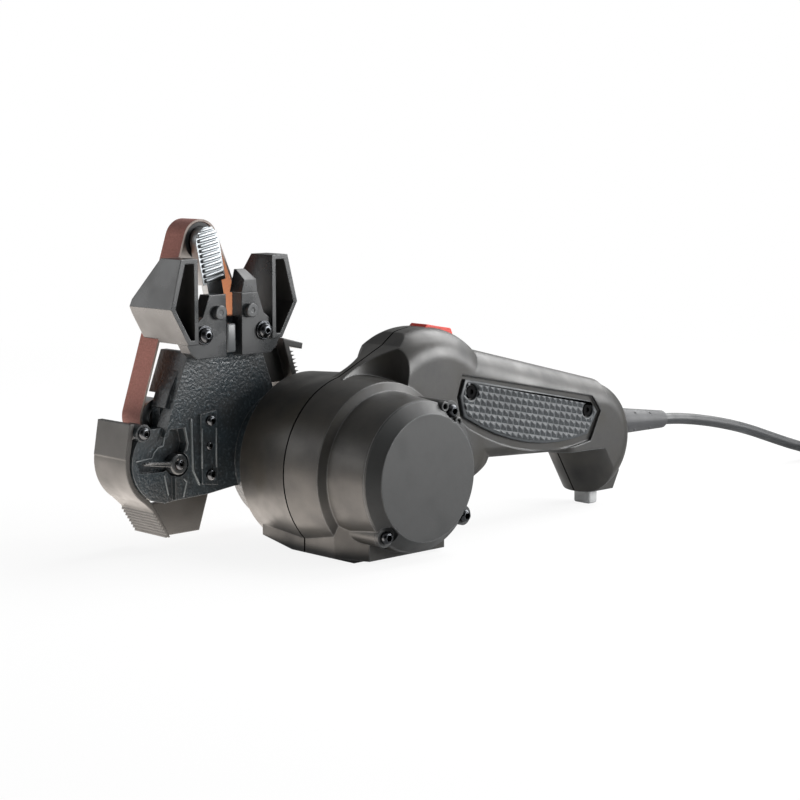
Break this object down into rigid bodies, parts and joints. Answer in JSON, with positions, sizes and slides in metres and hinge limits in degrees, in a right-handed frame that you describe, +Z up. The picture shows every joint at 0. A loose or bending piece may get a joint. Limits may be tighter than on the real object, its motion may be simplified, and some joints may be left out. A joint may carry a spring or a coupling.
{
  "type": "belt knife and tool sharpener",
  "caption": "Corded hand-held belt sharpener with a swivelling belt cassette, blade guide, tracking lever, sprung tensioner and rocker switch.",
  "frame": {"origin": "on the table under the motor axis, in the plane where the two housing halves meet, on the underside of the front foot pad", "axes": "+X along the motor axis towards the end cap, +Y along the handle towards the cord, +Z up"},
  "size_m": [0.1764, 0.4921, 0.1387],
  "materials": {
    "housing_black": "satin, fine grain",
    "cap_grey": "satin",
    "grip_rubber": "matt, pyramid pattern",
    "foot_rubber": "matt",
    "foot_grey": "matt",
    "screw_black": "black oxide",
    "screw_steel": "bright",
    "core_iron": "laminated",
    "winding_copper": "enamelled",
    "brush_brass": "plain",
    "brush_carbon": "carbon",
    "inner_plastic": "moulded",
    "switch_red": "gloss",
    "neck_metal": "cast",
    "pulley_metal": "turned",
    "cassette_black": "grained",
    "guard_black": "semi gloss",
    "lever_black": "satin",
    "arm_metal": "plain",
    "belt_abrasive": "aluminium oxide grit",
    "wheel_black": "satin",
    "tensioner_metal": "bright, ribbed",
    "guide_black": "satin",
    "key_grey": "satin",
    "cord_rubber": "satin",
    "tie_black": "plain"
  },
  "bodies": {
    "body": {"housing_left": "housing_black", "housing_right": "housing_black", "end_cap": "cap_grey", "cap_screws": "screw_black", "grip_panel_left": "grip_rubber", "grip_panel_right": "grip_rubber", "grip_screws": "screw_black", "front_pad": "foot_rubber", "rear_pad": "foot_grey", "stator": "core_iron", "field_coils": "winding_copper", "bearing_front": "screw_steel", "bearing_rear": "screw_steel", "brush_holders": "brush_brass", "brushes": "brush_carbon", "switch_body": "inner_plastic", "swivel_neck": "neck_metal", "swivel_ring": "screw_steel", "ring_screws": "screw_steel", "strain_relief": "cord_rubber", "cord_lead": "cord_rubber", "cord_coil": "cord_rubber", "cord_tie": "tie_black", "plug_body": "cord_rubber", "plug_blades": "brush_brass"},
    "rotor": {"shaft": "screw_steel", "armature": "core_iron", "commutator": "winding_copper", "fan": "inner_plastic", "drive_pulley": "pulley_metal", "pulley_screw": "screw_steel"},
    "switch": {"switch_rocker": "switch_red"},
    "cassette": {"cassette_frame": "cassette_black", "latch_strip": "cassette_black", "strip_screws": "screw_black", "front_guard": "guard_black", "guard_screw": "screw_black", "rear_guard": "guard_black", "belt": "belt_abrasive", "guide_left": "guide_black", "guide_right": "guide_black", "guide_screws": "screw_black", "guide_pins": "screw_black", "guide_tab": "guide_black", "guide_key": "key_grey", "arm_pin": "screw_steel", "tracking_screw": "screw_black", "tensioner_spring": "screw_steel"},
    "tracking": {"tracking_lever": "lever_black"},
    "tracking_arm": {"idler_arm": "arm_metal", "idler_axle": "screw_steel"},
    "idler_wheel": {"idler": "pulley_metal"},
    "tension": {"tensioner": "tensioner_metal", "wheel_axle": "screw_steel"},
    "top_pulley": {"top_wheel": "wheel_black"}
  },
  "joints": [
    {"name": "motor_spin", "type": "hinge", "parent": "body", "child": "rotor", "pos_m": [0, 0, 0.0352], "axis": [1, 0, 0], "continuous": true},
    {"name": "switch_rock", "type": "hinge", "parent": "body", "child": "switch", "pos_m": [0, 0.0446, 0.085], "axis": [1, 0, 0], "range_deg": [0, 14]},
    {"name": "cassette_swivel", "type": "hinge", "parent": "body", "child": "cassette", "pos_m": [-0.043, 0, 0.0352], "axis": [-1, 0, 0], "range_deg": [0, 90]},
    {"name": "tracking_turn", "type": "hinge", "parent": "cassette", "child": "tracking", "pos_m": [-0.0445, -0.06, 0.0372], "axis": [1, 0, 0], "range_deg": [-15, 15]},
    {"name": "tracking_tilt", "type": "hinge", "parent": "cassette", "child": "tracking_arm", "pos_m": [-0.0517, -0.061, 0.056], "axis": [0, 0, 1], "range_deg": [-0.8, 0.8]},
    {"name": "idler_spin", "type": "hinge", "parent": "tracking_arm", "child": "idler_wheel", "pos_m": [-0.0624, -0.061, 0.056], "axis": [1, 0, 0], "continuous": true},
    {"name": "tensioner_slide", "type": "slide", "parent": "cassette", "child": "tension", "axis": [0, 0.1994, -0.9799], "range_m": [0, 0.006], "stiffness_N_per_m": 800, "springref_m": -0.008, "deforming": ["tensioner_spring"]},
    {"name": "top_wheel_spin", "type": "hinge", "parent": "tension", "child": "top_pulley", "pos_m": [-0.0624, -0.0369, 0.1294], "axis": [1, 0, 0], "continuous": true}
  ],
  "couplings": [
    {"joint": "idler_spin", "follows": "motor_spin", "ratio": 1.375},
    {"joint": "top_wheel_spin", "follows": "motor_spin", "ratio": 1.375},
    {"joint": "tracking_tilt", "follows": "tracking_turn", "ratio": 0.0533}
  ]
}
